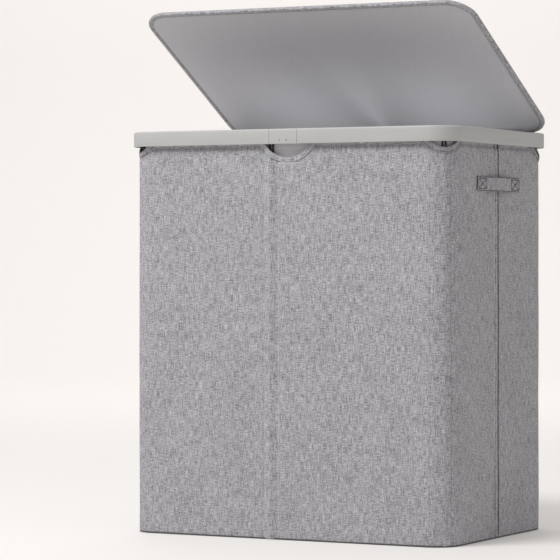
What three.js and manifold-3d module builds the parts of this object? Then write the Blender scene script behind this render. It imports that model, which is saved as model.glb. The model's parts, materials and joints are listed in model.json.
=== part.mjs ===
// Folding laundry hamper with a hinged lid: a rounded fabric box on stiff boards, held up by six
// hairpin support rods that plug into a plastic top rim, with two lift-out liner bags inside.
// Millimetres, +Z up, origin on the floor at the middle of the footprint, front face towards -Y.
import * as THREE from 'three';
import { mergeVertices } from 'three/addons/utils/BufferGeometryUtils.js';
import Module from 'manifold-3d';

const wasm = await Module();
wasm.setup();

// ---- driving dimensions -------------------------------------------------------------------
const RIM_WIDTH = 576.2;          // outside, left to right
const RIM_DEPTH = 392.3;          // outside, front to back
const RIM_TOP = 640;
const RIM_HEIGHT = 23.8;
const RIM_CORNER = 44.5;          // plan radius
const RIM_INNER_CORNER = 32;      // plan radius of the opening
const RIM_WALL = 2;
const RIM_CHANNEL = 16;           // clear width of the downward-open channel
const WALL_INSET = 7.8;           // the fabric wall stands this far inside the rim's outer face
const WALL_CORNER = 40;
const CLOTH = 1.2;
const BOARD = 2.4;
const LINING = 0.8;
const LINING_CORNER = 43;         // wider than the wall's, to pass inside the corner rods
const GAP = 0.3;                  // between neighbours that touch
const PANEL_TOP = 631;            // the cover runs up into the rim channel
const BOARD_TOP = 588;
const LINING_TOP = 619.5;
const CONNECTOR_WIDTH = 49;
const CONNECTOR_TONGUE = 62;      // half length of the splice under the rim halves
const PIN_RADIUS = 1.5;
const PIN_HALF_SPACING = 6;
const PIN_HEIGHT = 622;
const NOTCH_CENTRE_X = 4.5;       // finger notch in the middle of front and back
const NOTCH_LOW = 598;
const NOTCH_RADIUS = 48.5;
const CORNER_NOTCH_LOW = 603;
const CORNER_NOTCH_RADIUS = 23;
const ROD_RADIUS = 1.5;
const ROD_SPACING = 5.3;          // between the two legs of a hairpin
const ROD_TOP = 634;
const ROD_BOTTOM = 5.2;
const ROD_FOOT_WIDTH = 2.6;       // the short bar that joins the two legs
const ROD_FOOT_HEIGHT = 2.8;
const ROD_POCKET = 13;            // half width of the pocket between two boards
const SOCKET_BOTTOM = 620.5;      // the rim's sockets start this high, above the lining
const CORNER_SOCKET = [13, 7.5];  // width and depth of a socket block
const MIDDLE_SOCKET = [15, 6.4];
const CENTRE_ROD_X = -25.4;
const CORNER_ROD_X = 264.8;
const CORNER_ROD_Y = 171.6;
const SIDE_FOLD_Y = -8.7;         // the side walls fold inwards here
const SIDE_FOLD_WIDTH = 12;
const HANDLE_Y = -5.5;
const HANDLE_LENGTH = 161;
const HANDLE_Z = 554;
const HANDLE_WIDTH = 22;
const HANDLE_LIFT = 5.7;          // finger gap behind the strap
const HANDLE_SEWN = 36;           // length sewn flat at each end
const HANDLE_RAMP = 12;           // length over which the strap leaves the wall
const STRAP = 1.5;
const LINER_BOTTOM = 5;
const LINER_TOP = 632;
const LINER_INSET = 10;           // the bags' square corners clear the rim's rounded ones by this
const LINER_HALF_SPACING = 2;     // from the middle of the hamper to either bag
const LINER_HEM = 30;
const LOOP_BELOW_TOP = 4;
const LOOP_HALF_SPACING = 45;     // liner handle, middle of one leg to the liner's middle
const LOOP_DROP = 98;
const LOOP_WEBBING = 20;
const LID_WIDTH = 581;
const LID_DEPTH = 383;
const LID_CORNER = 45;
const LID_THICKNESS = 6.4;
const LID_HINGE_Y = 190.6;
const LID_HINGE_Z = 643.6;
const LID_OPEN_DEG = 29.5;        // open angle in the rest pose
const LID_BOARDS = [-1.5, 0.9];   // heights from the lid's middle plane
const LID_TOP_CLOTH = [1.2, 2.4];
const LID_UNDER_CLOTH = [-2.4, -1.8];
const LID_FOLD = 1.5;             // half the gap between the two lid boards
const BINDING_WIDTH = 8;
const BINDING_LIP = 0.5;
const BINDING_EDGE = 1.2;
const FLAP_LENGTH = 500;
const FLAP_THICKNESS = 0.8;
const FLAP_ON_LID = 28;
const RIVET_COUNT = 3;
const RIVET_PITCH = 195;
const RIVET_RADIUS = 2;
const RIVET_LENGTH = 4.4;
const RIVET_HEAD_RADIUS = 4.5;
const RIVET_HEAD_HEIGHT = 1;

// ---- derived sizes ------------------------------------------------------------------------
const rimX = RIM_WIDTH / 2;
const rimY = RIM_DEPTH / 2;
const wallX = rimX - WALL_INSET;
const wallY = rimY - WALL_INSET;
const rimBottom = RIM_TOP - RIM_HEIGHT;
const rimBand = 2 * RIM_WALL + RIM_CHANNEL;
const flatX = wallX - WALL_CORNER;   // where the flat front meets the corner
const flatY = wallY - WALL_CORNER;
const linerX = rimX - rimBand - LINER_INSET;
const linerY = rimY - rimBand - LINER_INSET;
const boardFace = CLOTH + GAP;       // depth of a board's outer face behind the fabric face
const baseBoardTop = CLOTH + GAP + BOARD;
const FAR = 1000;

// ---- materials ----------------------------------------------------------------------------
function material(color, roughness, metalness = 0) {
  return new THREE.MeshStandardMaterial({ color, roughness, metalness });
}
const LOOK = {
  heather: () => material(0xa3a2a5, 0.95),
  lining: () => material(0x979298, 0.85),
  liner: () => material(0x8d8990, 0.75),
  webbing: () => material(0x4d4c50, 0.8),
  rim: () => material(0xbcbcb8, 0.45),
  board: () => material(0xd8d6d0, 0.7),
  rod: () => material(0x3b3b3d, 0.4, 0.9),
  rivet: () => material(0x8a8a8a, 0.5),
};

// ---- geometry helpers ---------------------------------------------------------------------
function solid(geometry) {
  const bare = geometry.clone();
  bare.deleteAttribute('normal');
  bare.deleteAttribute('uv');
  const merged = mergeVertices(bare, 1e-4);
  const vertProperties = new Float32Array(merged.attributes.position.array);
  const triVerts = new Uint32Array(merged.index.array);
  return new wasm.Manifold(new wasm.Mesh({ numProp: 3, vertProperties, triVerts }));
}

function geometryOf(manifold) {
  const mesh = manifold.getMesh();
  const geometry = new THREE.BufferGeometry();
  geometry.setAttribute('position', new THREE.BufferAttribute(new Float32Array(mesh.vertProperties), 3));
  geometry.setIndex(new THREE.BufferAttribute(new Uint32Array(mesh.triVerts), 1));
  geometry.computeVertexNormals();
  return geometry;
}

function block(x0, x1, y0, y1, z0, z1) {
  const geometry = new THREE.BoxGeometry(x1 - x0, y1 - y0, z1 - z0);
  return geometry.translate((x0 + x1) / 2, (y0 + y1) / 2, (z0 + z1) / 2);
}

/** Cylinder lying along Y, or upright when upright is true. */
function rod(x, y, z, radius, length, sides, upright = false) {
  const geometry = new THREE.CylinderGeometry(radius, radius, length, sides);
  if (upright) geometry.rotateX(Math.PI / 2);
  return geometry.translate(x, y, z);
}

function roundedRectangle(x0, x1, y0, y1, radius, outline = new THREE.Shape()) {
  const quarter = Math.PI / 2;
  outline.absarc(x1 - radius, y0 + radius, radius, -quarter, 0);
  outline.absarc(x1 - radius, y1 - radius, radius, 0, quarter);
  outline.absarc(x0 + radius, y1 - radius, radius, quarter, 2 * quarter);
  outline.absarc(x0 + radius, y0 + radius, radius, 2 * quarter, 3 * quarter);
  outline.closePath();
  return outline;
}

function raised(outline, z0, z1, curveSegments = 6) {
  const settings = { depth: z1 - z0, bevelEnabled: false, curveSegments };
  return new THREE.ExtrudeGeometry(outline, settings).translate(0, 0, z0);
}

function plate(halfX, halfY, radius, z0, z1) {
  return raised(roundedRectangle(-halfX, halfX, -halfY, halfY, radius), z0, z1);
}

/** Upright band that follows a rounded rectangle, thickness mm thick inwards. */
function band(halfX, halfY, radius, thickness, z0, z1, innerRadius = Math.max(radius - thickness, 2)) {
  const inX = halfX - thickness;
  const inY = halfY - thickness;
  const outline = roundedRectangle(-halfX, halfX, -halfY, halfY, radius);
  outline.holes.push(roundedRectangle(-inX, inX, -inY, inY, innerRadius, new THREE.Path()));
  return raised(outline, z0, z1);
}

const hamper = new THREE.Group();

function add(group, name, look, shape) {
  const geometry = shape.isBufferGeometry ? shape : geometryOf(shape);
  const mesh = new THREE.Mesh(geometry, LOOK[look]());
  mesh.name = name;
  group.add(mesh);
  return mesh;
}

const SIDES = [['left', -1], ['right', 1]];
const ENDS = [['front', -1], ['rear', 1]];
const CORNERS = ENDS.flatMap(([end, sy]) => SIDES.map(([side, sx]) => [`${end}_${side}`, sx, sy]));

// ---- support rods -------------------------------------------------------------------------
/** Hairpin: two upright legs joined by a short bar at the foot, along the direction angle. */
function hairpin(x, y, angle) {
  const legLength = ROD_TOP - ROD_BOTTOM;
  const middle = (ROD_TOP + ROD_BOTTOM) / 2;
  const leg = (s) => solid(rod(s * ROD_SPACING / 2, 0, middle, ROD_RADIUS, legLength, 10, true));
  const legs = [-1, 1].map(leg);
  const half = ROD_SPACING / 2;
  const depth = ROD_FOOT_WIDTH / 2;
  const foot = solid(block(-half, half, -depth, depth, ROD_BOTTOM, ROD_BOTTOM + ROD_FOOT_HEIGHT));
  const geometry = geometryOf(legs[0].add(legs[1]).add(foot));
  return geometry.rotateZ(angle).translate(x, y, 0);
}

/** Socket block that reaches up into the rim's top web. */
function socketBlock(x, y, angle, [width, depth]) {
  const top = RIM_TOP - RIM_WALL / 2;
  const shape = block(-width / 2, width / 2, -depth / 2, depth / 2, SOCKET_BOTTOM, top);
  return solid(shape.rotateZ(angle).translate(x, y, 0));
}

/** The two blind holes that take the legs of a hairpin. */
function legHoles(x, y, angle) {
  const middle = ROD_TOP + GAP - RIM_HEIGHT / 2;
  const holes = [-1, 1].map((s) => {
    const hole = rod(s * ROD_SPACING / 2, 0, middle, ROD_RADIUS + GAP, RIM_HEIGHT, 12, true);
    return solid(hole.rotateZ(angle).translate(x, y, 0));
  });
  return holes[0].add(holes[1]);
}

function cornerRodAngle(sx, sy) {
  return sx * sy < 0 ? Math.PI / 4 : -Math.PI / 4;
}

const centreRodDepth = wallY - boardFace - ROD_RADIUS - 0.2;
for (const [name, sx, sy] of CORNERS) {
  const shape = hairpin(sx * CORNER_ROD_X, sy * CORNER_ROD_Y, cornerRodAngle(sx, sy));
  add(hamper, `support_rod_${name}`, 'rod', shape);
}
for (const [end, sy] of ENDS) {
  add(hamper, `support_rod_${end}_middle`, 'rod', hairpin(CENTRE_ROD_X, sy * centreRodDepth, 0));
}

// ---- plastic rim --------------------------------------------------------------------------
function rimChannel() {
  const outside = band(rimX, rimY, RIM_CORNER, rimBand, rimBottom, RIM_TOP, RIM_INNER_CORNER);
  const groove = band(rimX - RIM_WALL, rimY - RIM_WALL, RIM_CORNER - RIM_WALL, RIM_CHANNEL,
    rimBottom - 5, RIM_TOP - RIM_WALL, RIM_INNER_CORNER + RIM_WALL);
  return solid(outside).subtract(solid(groove));
}

const rivetZ = RIM_TOP - RIM_HEIGHT / 2;
function rivetX(i) {
  return (i - (RIVET_COUNT - 1) / 2) * RIVET_PITCH;
}

function cutRivetHoles(shape, y) {
  let cut = shape;
  for (let i = 0; i < RIVET_COUNT; i++) {
    cut = cut.subtract(solid(rod(rivetX(i), y, rivetZ, RIVET_RADIUS + GAP, 4 * RIVET_LENGTH, 12)));
  }
  return cut;
}

function rimHalf(sx) {
  const inner = CONNECTOR_WIDTH / 2 + GAP / 2;
  const keep = sx > 0 ? block(inner, FAR, -FAR, FAR, 0, FAR) : block(-FAR, -inner, -FAR, FAR, 0, FAR);
  let half = rimChannel().intersect(solid(keep));
  for (const [, sy] of ENDS) {
    const spot = [sx * CORNER_ROD_X, sy * CORNER_ROD_Y, cornerRodAngle(sx, sy)];
    half = half.add(socketBlock(...spot, CORNER_SOCKET)).subtract(legHoles(...spot));
  }
  return cutRivetHoles(half, rimY);
}

/** Short piece of rim with a splice tongue that runs into both halves of the rim. */
function rimConnector(sy) {
  const halfWidth = CONNECTOR_WIDTH / 2 - GAP / 2;
  const bandPart = rimChannel().intersect(solid(sy < 0
    ? block(-halfWidth, halfWidth, -FAR, 0, 0, FAR) : block(-halfWidth, halfWidth, 0, FAR, 0, FAR)));
  const outer = rimY - RIM_WALL - GAP;
  const inner = rimY - RIM_WALL - RIM_CHANNEL + GAP;
  const y0 = sy < 0 ? -outer : inner;
  const y1 = sy < 0 ? -inner : outer;
  const top = RIM_TOP - RIM_WALL - GAP;
  const lower = PANEL_TOP + GAP;
  const splice = solid(block(-CONNECTOR_TONGUE, CONNECTOR_TONGUE, y0, y1, lower, top));
  const fill = solid(block(-halfWidth, halfWidth, y0 - 1, y1 + 1, lower, top + 1));
  const spot = [CENTRE_ROD_X, sy * centreRodDepth, 0];
  const boss = socketBlock(...spot, MIDDLE_SOCKET).subtract(solid(block(-FAR, FAR, -FAR, FAR, top, FAR)));
  let connector = bandPart.add(splice).add(fill).add(boss).subtract(legHoles(...spot));
  for (const s of [-1, 1]) {
    const hole = rod(s * PIN_HALF_SPACING, sy * rimY, PIN_HEIGHT, PIN_RADIUS + GAP, 3 * rimBand, 12);
    connector = connector.subtract(solid(hole));
  }
  return sy > 0 ? cutRivetHoles(connector, rimY) : connector;
}

for (const [side, sx] of SIDES) add(hamper, `rim_half_${side}`, 'rim', rimHalf(sx));
for (const [end, sy] of ENDS) {
  add(hamper, `rim_connector_${end}`, 'rim', rimConnector(sy));
  for (const [side, sx] of SIDES) {
    const length = rimBand - GAP;
    const pin = rod(sx * PIN_HALF_SPACING, sy * (rimY - rimBand / 2), PIN_HEIGHT, PIN_RADIUS, length, 12);
    add(hamper, `connector_pin_${end}_${side}`, 'rod', pin);
  }
}

// ---- fabric cover -------------------------------------------------------------------------
const coverTube = solid(band(wallX, wallY, WALL_CORNER, CLOTH, 0, PANEL_TOP));
const middleNotch = solid(rod(NOTCH_CENTRE_X, 0, NOTCH_LOW + NOTCH_RADIUS, NOTCH_RADIUS, 2 * FAR, 40));

function cornerNotch(sx, sy) {
  const geometry = new THREE.CylinderGeometry(CORNER_NOTCH_RADIUS, CORNER_NOTCH_RADIUS, 120, 28);
  geometry.rotateZ(sx * sy < 0 ? Math.PI / 4 : -Math.PI / 4);
  const height = CORNER_NOTCH_LOW + CORNER_NOTCH_RADIUS;
  return solid(geometry.translate(sx * (flatX + WALL_CORNER / 2), sy * (flatY + WALL_CORNER / 2), height));
}

const seam = GAP / 2;
for (const [end, sy] of ENDS) {
  const y0 = sy < 0 ? -FAR : 0;
  const y1 = sy < 0 ? 0 : FAR;
  const zone = solid(block(-flatX + seam, flatX - seam, y0, y1, -1, FAR));
  add(hamper, `${end}_panel`, 'heather', coverTube.intersect(zone).subtract(middleNotch));
}
for (const [side, sx] of SIDES) {
  const x0 = sx < 0 ? -FAR : 0;
  const x1 = sx < 0 ? 0 : FAR;
  const zone = solid(block(x0, x1, -flatY + seam, flatY - seam, -1, FAR));
  add(hamper, `${side}_panel`, 'heather', coverTube.intersect(zone));
}
for (const [name, sx, sy] of CORNERS) {
  const x0 = sx < 0 ? -FAR : flatX + seam;
  const x1 = sx < 0 ? -flatX - seam : FAR;
  const y0 = sy < 0 ? -FAR : flatY + seam;
  const y1 = sy < 0 ? -flatY - seam : FAR;
  const zone = solid(block(x0, x1, y0, y1, -1, FAR));
  add(hamper, `corner_pocket_${name}`, 'heather', coverTube.intersect(zone).subtract(cornerNotch(sx, sy)));
}

// ---- stiffening boards, one each side of every fold -----------------------------------------
const boardBottom = baseBoardTop + GAP;
for (const [end, sy] of ENDS) {
  const face = wallY - boardFace;
  const y0 = sy < 0 ? -face : face - BOARD;
  const y1 = y0 + BOARD;
  const far = flatX - 10 * GAP;
  const spans = { left: [-far, CENTRE_ROD_X - ROD_POCKET], right: [CENTRE_ROD_X + ROD_POCKET, far] };
  for (const [side] of SIDES) {
    const [x0, x1] = spans[side];
    add(hamper, `${end}_board_${side}`, 'board', block(x0, x1, y0, y1, boardBottom, BOARD_TOP));
  }
}
for (const [side, sx] of SIDES) {
  const face = wallX - boardFace;
  const x0 = sx < 0 ? -face : face - BOARD;
  const x1 = x0 + BOARD;
  const half = SIDE_FOLD_WIDTH / 2;
  const far = flatY - 10 * GAP;
  const spans = { front: [-far, SIDE_FOLD_Y - half], rear: [SIDE_FOLD_Y + half, far] };
  for (const [end] of ENDS) {
    const [y0, y1] = spans[end];
    add(hamper, `${side}_board_${end}`, 'board', block(x0, x1, y0, y1, boardBottom, BOARD_TOP));
  }
}

// ---- wall lining and base -------------------------------------------------------------------
const liningX = wallX - boardFace - 2 * ROD_RADIUS - 2 * GAP;
const liningY = wallY - boardFace - 2 * ROD_RADIUS - 2 * GAP;
add(hamper, 'wall_lining', 'lining', band(liningX, liningY, LINING_CORNER, LINING, boardBottom, LINING_TOP));

function basePlate(inset, z0, z1) {
  return plate(wallX - inset, wallY - inset, WALL_CORNER - inset, z0, z1);
}
add(hamper, 'base_cover', 'heather', basePlate(boardFace, 0, CLOTH));
const baseBoards = solid(basePlate(boardFace + 1, CLOTH + GAP, baseBoardTop));
for (const [side, sx] of SIDES) {
  const zone = sx < 0 ? block(-FAR, -1, -FAR, FAR, 0, FAR) : block(1, FAR, -FAR, FAR, 0, FAR);
  add(hamper, `base_board_${side}`, 'board', baseBoards.intersect(solid(zone)));
}

// ---- side carrying handles --------------------------------------------------------------------
/** Strap sewn flat at both ends and standing off the wall between them. */
function sideHandle(sx) {
  const half = HANDLE_LENGTH / 2;
  const sewn = half - HANDLE_SEWN;
  const lifted = sewn - HANDLE_RAMP;
  const along = [-half, -sewn, -lifted, lifted, sewn, half];
  const lift = [GAP, GAP, HANDLE_LIFT, HANDLE_LIFT, GAP, GAP];
  const outline = new THREE.Shape();
  along.forEach((y, i) => (i ? outline.lineTo(lift[i], y) : outline.moveTo(lift[i], y)));
  for (let i = along.length - 1; i >= 0; i--) outline.lineTo(lift[i] + STRAP, along[i]);
  outline.closePath();
  const geometry = raised(outline, HANDLE_Z - HANDLE_WIDTH / 2, HANDLE_Z + HANDLE_WIDTH / 2);
  if (sx < 0) geometry.rotateZ(Math.PI);
  return geometry.translate(sx * wallX, HANDLE_Y, 0);
}
for (const [side, sx] of SIDES) add(hamper, `side_handle_${side}`, 'heather', sideHandle(sx));

// ---- liner bags ---------------------------------------------------------------------------------
/** A block inside one bag's outline: distances from the hamper's middle plane, for either side. */
function linerBlock(sx, near, far, y0, y1, z0, z1) {
  return sx > 0 ? block(near, far, y0, y1, z0, z1) : block(-far, -near, y0, y1, z0, z1);
}

/** The four wall panels and the bottom of one bag, edge to edge. Each wall has its hem turned inwards. */
function linerPanels(sx) {
  const near = LINER_HALF_SPACING;
  const floor = LINER_BOTTOM + CLOTH + seam;
  const hemLow = LINER_TOP - LINER_HEM;
  const edge = CLOTH + seam;
  const y = linerY - CLOTH;
  const sideY = linerY - edge;
  const hemY = y - edge;
  const hemmed = (wall, hem) => {
    const [wallBlock, hemBlock] = [wall, hem].map((sizes) => solid(linerBlock(sx, ...sizes, LINER_TOP)));
    return wallBlock.add(hemBlock);
  };
  return {
    bottom: linerBlock(sx, near, linerX, -linerY, linerY, LINER_BOTTOM, LINER_BOTTOM + CLOTH),
    front_panel: hemmed([near, linerX, -linerY, -y, floor],
      [near + edge, linerX - edge, -y - seam, -y + CLOTH, hemLow]),
    rear_panel: hemmed([near, linerX, y, linerY, floor],
      [near + edge, linerX - edge, y - CLOTH, y + seam, hemLow]),
    inner_panel: hemmed([near, near + CLOTH, -sideY, sideY, floor],
      [near + seam, near + 2 * CLOTH, -hemY, hemY, hemLow]),
    outer_panel: hemmed([linerX - CLOTH, linerX, -sideY, sideY, floor],
      [linerX - 2 * CLOTH, linerX - seam, -hemY, hemY, hemLow]),
  };
}

/** Webbing loop that hangs down inside the bag, its two ends sewn to the hem. */
function linerLoop(sx, sy) {
  const outer = LOOP_HALF_SPACING + LOOP_WEBBING / 2;
  const inner = LOOP_HALF_SPACING - LOOP_WEBBING / 2;
  const top = LINER_TOP - LOOP_BELOW_TOP;
  const low = top - LOOP_DROP;
  const outline = new THREE.Shape();
  outline.moveTo(-outer, top);
  outline.lineTo(-outer, low + outer);
  outline.absarc(0, low + outer, outer, Math.PI, 2 * Math.PI);
  outline.lineTo(outer, top);
  outline.lineTo(inner, top);
  outline.lineTo(inner, low + outer);
  outline.absarc(0, low + outer, inner, 0, -Math.PI, true);
  outline.lineTo(-inner, top);
  outline.closePath();
  const middle = sx * (linerX + LINER_HALF_SPACING) / 2;
  const face = linerY - 2 * CLOTH - 2 * GAP;
  const geometry = raised(outline, 0, STRAP, 5).rotateX(Math.PI / 2);
  return geometry.translate(middle, sy < 0 ? -face + STRAP : face, 0);
}

for (const [side, sx] of SIDES) {
  const panels = Object.entries(linerPanels(sx));
  for (const [name, shape] of panels) add(hamper, `liner_${side}_${name}`, 'liner', shape);
  for (const [end, sy] of ENDS) add(hamper, `liner_handle_${side}_${end}`, 'webbing', linerLoop(sx, sy));
}

// ---- lid, drawn closed about its hinge line and turned to the rest angle --------------------------
const lid = new THREE.Group();
lid.position.set(0, LID_HINGE_Y, LID_HINGE_Z);
lid.rotation.x = -THREE.MathUtils.degToRad(LID_OPEN_DEG);
hamper.add(lid);

const lidMiddle = -LID_DEPTH / 2;
const lidHalfX = LID_WIDTH / 2;
const lidHalfY = LID_DEPTH / 2;
const halfThickness = LID_THICKNESS / 2;

function lidPlate(inset, z0, z1) {
  return plate(lidHalfX - inset, lidHalfY - inset, LID_CORNER - inset, z0, z1).translate(0, lidMiddle, 0);
}

const lidInset = BINDING_EDGE + GAP;
const lidBoards = solid(lidPlate(lidInset + 1, ...LID_BOARDS));
for (const [side, sx] of SIDES) {
  const [from, to] = sx < 0 ? [-FAR, -LID_FOLD] : [LID_FOLD, FAR];
  const zone = block(from, to, -FAR, FAR, -FAR, FAR);
  add(lid, `lid_board_${side}`, 'board', lidBoards.intersect(solid(zone)));
}
add(lid, 'lid_top_cover', 'heather', lidPlate(lidInset, ...LID_TOP_CLOTH));
add(lid, 'lid_lining', 'lining', lidPlate(lidInset, ...LID_UNDER_CLOTH));

function lidBinding() {
  const whole = solid(band(lidHalfX, lidHalfY, LID_CORNER, BINDING_WIDTH, -halfThickness, halfThickness));
  const groove = halfThickness - BINDING_LIP;
  const inX = lidHalfX - BINDING_EDGE;
  const inY = lidHalfY - BINDING_EDGE;
  return whole.subtract(solid(plate(inX, inY, LID_CORNER - BINDING_EDGE, -groove, groove)));
}
add(lid, 'lid_binding', 'heather', lidBinding().translate([0, lidMiddle, 0]));

// ---- fabric hinge flap: one leaf on the lid, one riveted to the back of the rim --------------------
const flapHalf = FLAP_LENGTH / 2;
const flapTop = halfThickness + GAP;
const lidLeaf = block(-flapHalf, flapHalf, -FLAP_ON_LID, -seam, flapTop, flapTop + FLAP_THICKNESS);
add(lid, 'hinge_flap_lid', 'heather', lidLeaf);

const flapFace = rimY + GAP;
const flapOutside = flapFace + FLAP_THICKNESS;
const rimLeaf = solid(block(-flapHalf, flapHalf, flapFace, flapOutside, rimBottom + RIM_WALL, RIM_TOP));
for (let i = 0; i < RIVET_COUNT; i++) {
  const x = rivetX(i);
  const headY = flapOutside + GAP + RIVET_HEAD_HEIGHT / 2;
  const shank = solid(rod(x, headY - RIVET_LENGTH / 2, rivetZ, RIVET_RADIUS, RIVET_LENGTH, 12));
  const head = solid(rod(x, headY, rivetZ, RIVET_HEAD_RADIUS, RIVET_HEAD_HEIGHT, 16));
  add(hamper, `hinge_rivet_${i + 1}`, 'rivet', shank.add(head));
}
add(hamper, 'hinge_flap_rim', 'heather', cutRivetHoles(rimLeaf, flapFace));

export default hamper;
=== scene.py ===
"""Looks for the folding laundry hamper with a hinged lid.

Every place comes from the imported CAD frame. Lengths are in metres, and MM turns millimetres into them.
Cloth pieces carry a UV map called "cloth" that holds their flat position in metres, for the weaves.
"""

import json
import math

import bmesh
import bpy
import numpy as np
from mathutils import Matrix, Vector, noise


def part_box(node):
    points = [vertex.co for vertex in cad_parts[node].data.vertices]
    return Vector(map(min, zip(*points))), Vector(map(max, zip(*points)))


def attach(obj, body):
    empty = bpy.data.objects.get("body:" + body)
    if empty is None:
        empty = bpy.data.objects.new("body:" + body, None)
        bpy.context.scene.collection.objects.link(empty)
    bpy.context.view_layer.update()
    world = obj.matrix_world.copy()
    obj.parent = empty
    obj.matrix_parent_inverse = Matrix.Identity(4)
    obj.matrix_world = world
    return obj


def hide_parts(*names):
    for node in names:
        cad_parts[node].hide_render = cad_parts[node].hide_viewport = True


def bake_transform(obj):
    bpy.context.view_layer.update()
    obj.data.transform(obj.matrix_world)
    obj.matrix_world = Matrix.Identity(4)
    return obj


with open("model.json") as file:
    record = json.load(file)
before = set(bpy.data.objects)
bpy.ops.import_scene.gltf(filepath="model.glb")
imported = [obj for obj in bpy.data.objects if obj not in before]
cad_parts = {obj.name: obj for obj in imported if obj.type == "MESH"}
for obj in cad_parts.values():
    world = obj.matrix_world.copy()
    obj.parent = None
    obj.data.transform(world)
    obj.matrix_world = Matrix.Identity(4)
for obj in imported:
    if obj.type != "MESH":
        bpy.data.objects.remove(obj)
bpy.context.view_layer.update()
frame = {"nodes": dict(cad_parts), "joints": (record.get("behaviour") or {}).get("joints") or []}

MM = 0.001
BODY = "hamper_body"
LID = "lid"
SIDES = (("left", -1), ("right", 1))
ENDS = (("front", -1), ("rear", 1))


# ---- sizes read from the frame -------------------------------------------------------------------
def low(node):
    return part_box(node)[0]


def high(node):
    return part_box(node)[1]


def centre_of(node):
    return (low(node) + high(node)) / 2


RIM_X, RIM_Y = high("rim_half_right").x, high("rim_half_right").y
RIM_TOP, RIM_BOTTOM = high("rim_half_right").z, low("rim_half_right").z
WALL_X, WALL_Y = high("right_panel").x, high("rear_panel").y
WALL_TOP = high("front_panel").z
FLAT_X = (high("front_panel").x + low("corner_pocket_front_right").x) / 2
WALL_CORNER = WALL_X - FLAT_X
LINING_X, LINING_Y = high("wall_lining").x, high("wall_lining").y
LINING_TOP, LINING_LOW = high("wall_lining").z, low("wall_lining").z
RIM_BAND = high("rim_connector_front").y - low("rim_connector_front").y
HINGE = Vector(frame["joints"][0]["pos_m"])
OPEN_ANGLE = -math.radians(frame["joints"][0]["range_deg"][0])
LID_PLACE = Matrix.Translation(HINGE) @ Matrix.Rotation(-OPEN_ANGLE, 4, "X")
LID_X = high("lid_binding").x

# Shapes that belong to the sewn cover
RIM_CORNER = 44.5 * MM
CLOTH = 1.2 * MM
LINING_CORNER = 43 * MM
CONNECTOR_HALF = 24.35 * MM
NOTCH_X, NOTCH_Z, NOTCH_R = 4.5 * MM, 640.5 * MM, 45 * MM
CORNER_NOTCHES = ((637.5 * MM, 30 * MM), (637.2 * MM, 37.6 * MM)) * 2
ROD_X = centre_of("support_rod_front_middle").x
ROD_POCKET = (-38 * MM, -14 * MM)
SIDE_SEAMS = (-14.7 * MM, -2.7 * MM)
LID_CORNER = 45 * MM
LID_DEPTH = 383 * MM
STITCH, THREAD = 3.4 * MM, 0.42 * MM
NOTCH_HEM = 7.8 * MM


# ---- scene: camera, floor, light -----------------------------------------------------------------
VIEW_TURN = math.radians(28.09)
BACK = Vector((-math.sin(VIEW_TURN), math.cos(VIEW_TURN), 0))


def add_object(name, data):
    made = bpy.data.objects.new(name, data)
    bpy.context.collection.objects.link(made)
    return made


def mesh_of(name, places, faces):
    mesh = bpy.data.meshes.new(name)
    mesh.from_pydata(places, [], faces)
    return mesh


def make_camera():
    data = bpy.data.cameras.new("camera")
    data.lens = 186.4
    data.sensor_width = 36
    data.shift_y = -0.046
    data.clip_end = 100
    camera = add_object("camera", data)
    camera.location = (2.1165, -4.1703, 0.4447)
    camera.rotation_euler = (math.radians(90), 0, VIEW_TURN)
    bpy.context.scene.camera = camera


def area_light(name, place, target, size, power):
    data = bpy.data.lights.new(name, "AREA")
    data.shape = "RECTANGLE"
    data.size, data.size_y = size
    data.energy = power
    light = add_object(name, data)
    light.location = place
    light.rotation_euler = (Vector(target) - Vector(place)).to_track_quat("-Z", "Y").to_euler()
    return light


def make_studio():
    """Soft room light, one light overhead, one on the wall, and a small one in each bag under the lid."""
    world = bpy.data.worlds.new("studio")
    world.use_nodes = True
    background = world.node_tree.nodes["Background"]
    background.inputs["Color"].default_value = (1.0, 0.995, 0.99, 1)
    background.inputs["Strength"].default_value = 0.52
    bpy.context.scene.world = world
    bpy.context.scene.view_settings.view_transform = "Standard"
    area_light("overhead", (-0.8, -1.9, 3.2), (0, 0, 0.3), (1.5, 1.0), 80)
    above, foot = BACK * 3.8 + Vector((0, 0, 4.2)), BACK * 6.0 + Vector((0, 0, 0.4))
    area_light("wall_wash", above, foot, (4.0, 1.5), 95)
    for side, sx in SIDES:
        lift = area_light(f"inside_{side}", (sx * 0.13, 0.0, 0.5), (sx * 0.13, 0.12, 0.7), (0.2, 0.2), 0.125)
        lift.data.spread = math.radians(110)


def make_floor():
    """Floor with a soft cove up to a wall further behind the hamper than the camera is in front of it."""
    across = Vector((math.cos(VIEW_TURN), math.sin(VIEW_TURN), 0))
    near, wall, radius, width, tall = -9.0, 6.6, 1.2, 12.0, 7.0
    profile = [(near, 0.0), (-2.0, 0.0), (0.0, 0.0), (wall - radius, 0.0)]
    for i in range(1, 13):
        a = math.pi / 2 * i / 12
        profile.append((wall - radius + radius * math.sin(a), radius - radius * math.cos(a)))
    profile.append((wall, tall))
    columns = [-width, 0.0, width]
    verts = [tuple(across * x + BACK * d + Vector((0, 0, z))) for x in columns for d, z in profile]
    n = len(profile)
    faces = [(c * n + i, (c + 1) * n + i, (c + 1) * n + i + 1, c * n + i + 1)
             for c in range(len(columns) - 1) for i in range(n - 1)]
    new_object("studio_floor", mesh_of("studio_floor", verts, faces), plain_floor())


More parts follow.
